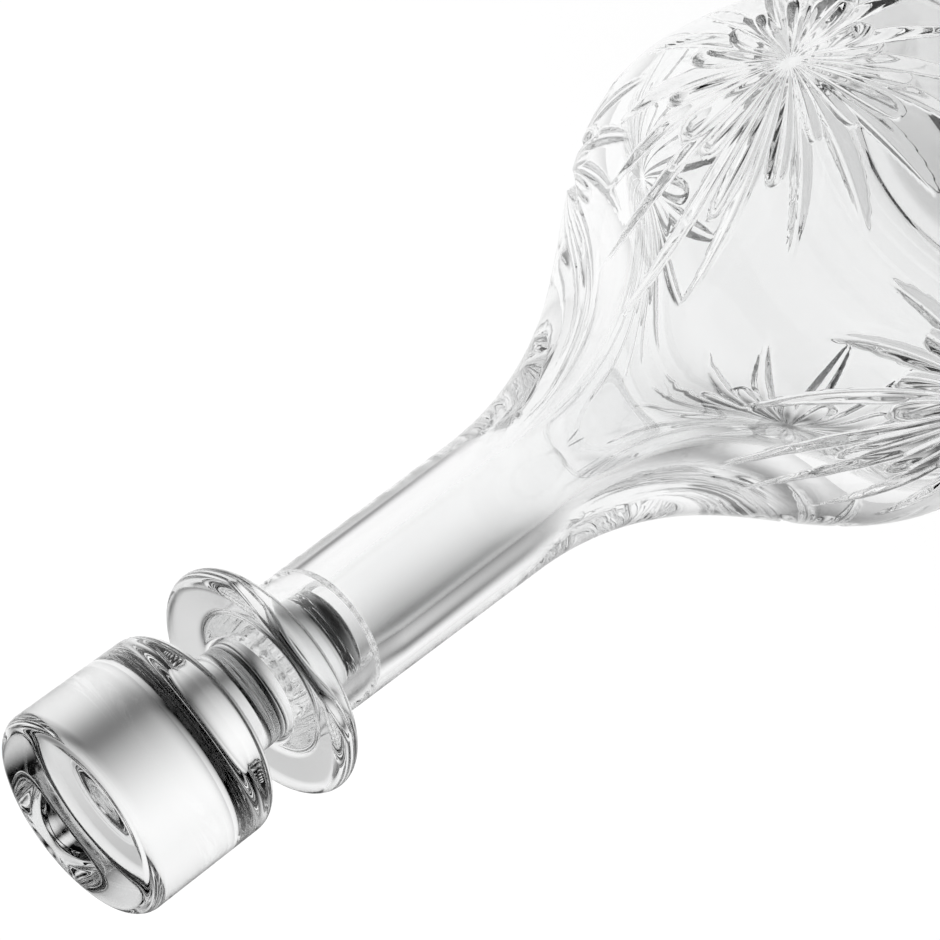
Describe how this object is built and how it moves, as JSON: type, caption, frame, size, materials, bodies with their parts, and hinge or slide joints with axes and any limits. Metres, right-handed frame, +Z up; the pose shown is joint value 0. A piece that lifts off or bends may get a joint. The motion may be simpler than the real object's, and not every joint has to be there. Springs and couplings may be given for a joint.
{
  "type": "wine decanter",
  "caption": "Clear glass wine decanter with a star-cut belly, a long neck with a disc-shaped lip, and a solid cylindrical glass stopper that lifts out of the mouth.",
  "frame": {"origin": "centre of the base, on the plane the foot ring stands on", "axes": "+Z up along the decanter's axis, towards the stopper; +X and -Y each through the middle of one star"},
  "size_m": [0.1234, 0.1234, 0.2915],
  "materials": {
    "vessel_glass": "polished clear, star cut",
    "stopper_glass": "polished clear, solid"
  },
  "bodies": {
    "vessel": {"vessel": "vessel_glass"},
    "stopper": {"stopper": "stopper_glass"}
  },
  "joints": [
    {"name": "stopper_lift", "type": "slide", "parent": "vessel", "child": "stopper", "axis": [0, 0, 1], "range_m": [0, 0.08]}
  ]
}
